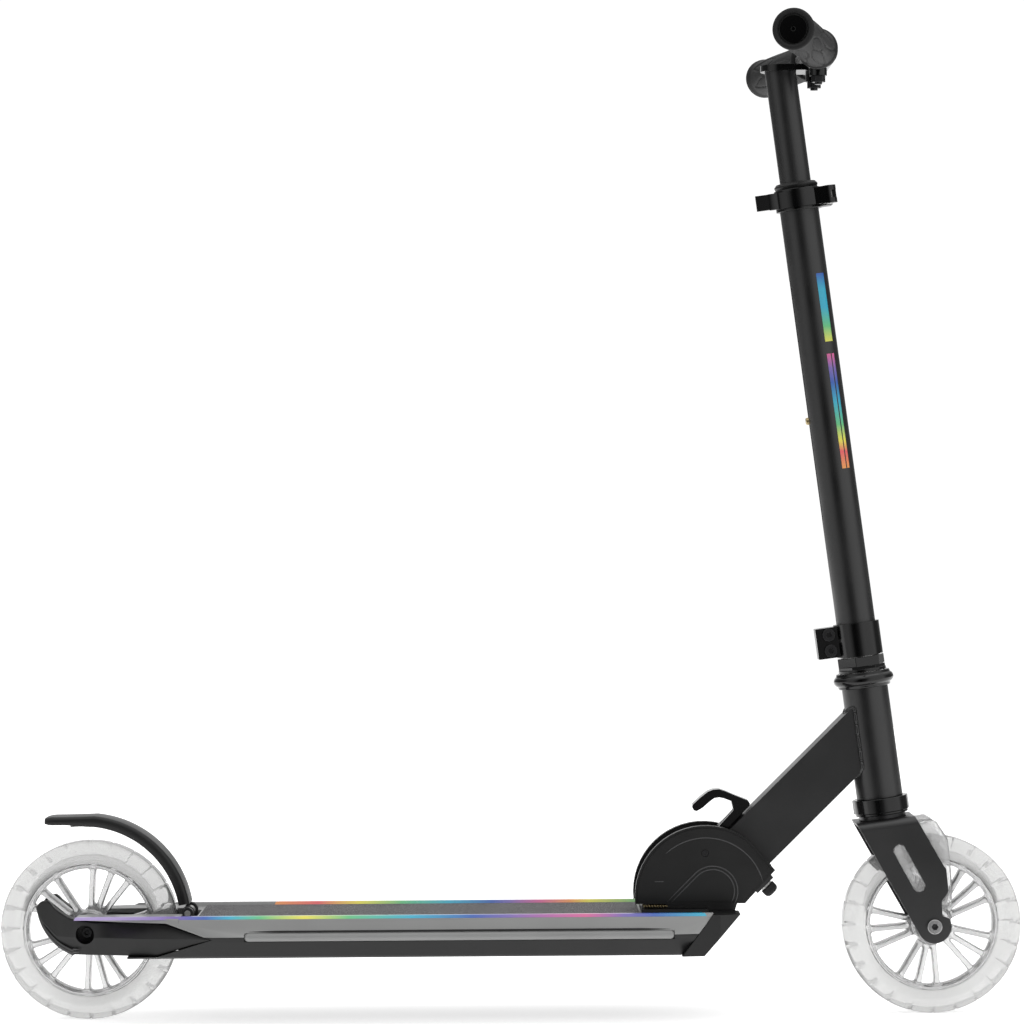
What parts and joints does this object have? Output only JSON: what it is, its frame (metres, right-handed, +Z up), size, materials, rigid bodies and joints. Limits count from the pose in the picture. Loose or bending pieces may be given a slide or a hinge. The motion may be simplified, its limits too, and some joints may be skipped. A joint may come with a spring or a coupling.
{
  "type": "kick scooter",
  "caption": "Folding kick scooter with two clear wheels, a flat deck, rear fender brake, height-adjustable stem and swept handlebar.",
  "frame": {"origin": "on the ground midway between the two wheels", "axes": "+X forward to the front wheel, +Y to the rider's left, +Z up"},
  "size_m": [0.831, 0.345, 0.7985],
  "materials": {
    "grey_paint": "satin mid-grey paint",
    "dark_paint": "satin charcoal powder coat",
    "dark_plastic": "fine-textured charcoal plastic",
    "gloss_black": "glossy black coating",
    "zinc_steel": "zinc-plated steel",
    "black_steel": "black-oxide steel, lightly oiled",
    "chrome": "polished",
    "brass": "satin",
    "black_rubber": "matte moulded rubber",
    "grip_grit": "gritty anti-slip sheet",
    "clear_tyre": "translucent cast polyurethane",
    "white_core": "translucent white moulded core",
    "clear_plastic": "clear textured plastic"
  },
  "bodies": {
    "deck": {"deck_plate": "grey_paint", "deck_tray": "dark_plastic", "grip_tape": "grip_grit", "side_trims": "grey_paint", "nose_cap": "dark_plastic", "rear_dropouts": "dark_paint", "rear_cover_right": "dark_plastic", "rear_cover_left": "dark_plastic", "hinge_bracket": "dark_paint", "hinge_cover_right": "dark_plastic", "hinge_cover_left": "dark_plastic", "fold_pivot_bolt": "zinc_steel", "cover_screws": "black_steel", "stop_bolt": "zinc_steel", "stop_knob": "black_rubber", "latch_spring": "brass", "rear_axle": "zinc_steel", "rear_axle_screws": "black_steel", "rear_magnet_core": "zinc_steel", "brake_pin": "zinc_steel", "brake_spring": "zinc_steel"},
    "neck": {"neck_strut": "dark_paint", "head_tube": "dark_paint", "upper_cup": "gloss_black", "lower_cup": "gloss_black", "headset_bearings": "chrome", "lever_pin": "zinc_steel"},
    "fold_lever": {"fold_lever": "gloss_black"},
    "steering": {"fork": "dark_paint", "fork_guard": "clear_plastic", "steerer_tube": "zinc_steel", "crown_race": "black_steel", "lock_washer": "gloss_black", "lock_nut": "gloss_black", "lower_clamp": "gloss_black", "clamp_bolts": "black_steel", "lower_tube": "dark_paint", "tube_bushing": "dark_plastic", "qr_collar": "gloss_black", "qr_skewer": "zinc_steel", "front_axle": "zinc_steel", "front_axle_screws": "chrome", "front_magnet_core": "zinc_steel"},
    "qr_lever": {"qr_lever": "gloss_black"},
    "bar_assembly": {"upper_tube": "dark_paint", "bar_bracket": "gloss_black", "handlebar": "dark_paint", "grip_right": "black_rubber", "grip_left": "black_rubber", "bar_bolts": "black_steel", "button_spring": "zinc_steel"},
    "snap_button": {"snap_button": "brass"},
    "front_wheel": {"front_tyre": "clear_tyre", "front_rim": "white_core", "front_bearings": "zinc_steel"},
    "rear_wheel": {"rear_tyre": "clear_tyre", "rear_rim": "white_core", "rear_bearings": "zinc_steel"},
    "brake": {"brake_fender": "dark_plastic", "brake_shoe": "zinc_steel"}
  },
  "joints": [
    {"name": "fold", "type": "hinge", "parent": "deck", "child": "neck", "pos_m": [0.1632, 0, 0.106], "axis": [0, -1, 0], "range_deg": [0, 82]},
    {"name": "fold_lever_pull", "type": "hinge", "parent": "neck", "child": "fold_lever", "pos_m": [0.16893, 0, 0.14725], "axis": [0, -1, 0], "range_deg": [0, 18], "stiffness_Nm_per_rad": 0.6, "springref_deg": -17.19},
    {"name": "steer", "type": "hinge", "parent": "neck", "child": "steering", "pos_m": [0.29924, 0, 0.19833], "axis": [-0.1288, 0, 0.9917], "continuous": true},
    {"name": "front_wheel_spin", "type": "hinge", "parent": "steering", "child": "front_wheel", "pos_m": [0.343, 0, 0.0725], "axis": [0, 1, 0], "continuous": true},
    {"name": "rear_wheel_spin", "type": "hinge", "parent": "deck", "child": "rear_wheel", "pos_m": [-0.343, 0, 0.0725], "axis": [0, 1, 0], "continuous": true},
    {"name": "quick_release", "type": "hinge", "parent": "steering", "child": "qr_lever", "pos_m": [0.26261, -0.0156, 0.66672], "axis": [-0.1288, 0, 0.9917], "range_deg": [0, 110]},
    {"name": "bar_height", "type": "slide", "parent": "steering", "child": "bar_assembly", "axis": [-0.1288, 0, 0.9917], "range_m": [-0.075, 0.11]},
    {"name": "snap_button_press", "type": "slide", "parent": "bar_assembly", "child": "snap_button", "axis": [0.9917, 0, 0.1288], "range_m": [0, 0.004], "stiffness_N_per_m": 800, "springref_m": -0.004, "deforming": ["button_spring"]},
    {"name": "brake_press", "type": "hinge", "parent": "deck", "child": "brake", "pos_m": [-0.262, 0, 0.0869], "axis": [0, -1, 0], "range_deg": [0, 7.8], "stiffness_Nm_per_rad": 3, "springref_deg": -14.32}
  ]
}
